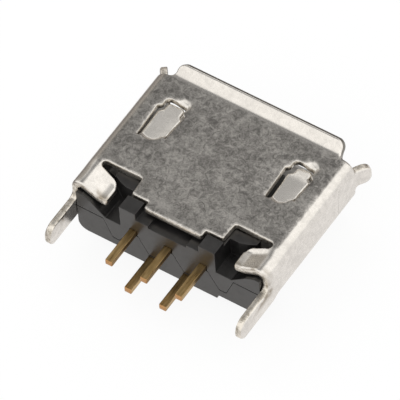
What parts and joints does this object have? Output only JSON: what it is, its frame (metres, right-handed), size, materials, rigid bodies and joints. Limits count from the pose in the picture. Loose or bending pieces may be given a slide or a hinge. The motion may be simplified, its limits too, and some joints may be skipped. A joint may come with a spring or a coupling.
{
  "type": "usb type b socket",
  "caption": "Micro USB type B socket for upright board mounting: folded metal shell with spring tongues, moulded black insulator and gold contact tails.",
  "frame": {"origin": "bottom centre of the bounding box, with the socket lying on its lower broad face", "axes": "+X across the mouth, +Y out of the mouth along the plug's path, +Z out of the wide face"},
  "size_m": [0.008, 0.0074, 0.003],
  "materials": {
    "shell_nickel": "satin nickel plate",
    "housing_black": "glossy moulded thermoplastic",
    "retainer_black": "glossy moulded thermoplastic",
    "contact_1_gold": "gold-plated copper alloy",
    "contact_2_gold": "gold-plated copper alloy",
    "contact_3_gold": "gold-plated copper alloy",
    "contact_4_gold": "gold-plated copper alloy",
    "contact_5_gold": "gold-plated copper alloy"
  },
  "bodies": {
    "root": {"shell": "shell_nickel", "housing": "housing_black", "retainer": "retainer_black", "contact_1": "contact_1_gold", "contact_2": "contact_2_gold", "contact_3": "contact_3_gold", "contact_4": "contact_4_gold", "contact_5": "contact_5_gold"}
  },
  "joints": []
}
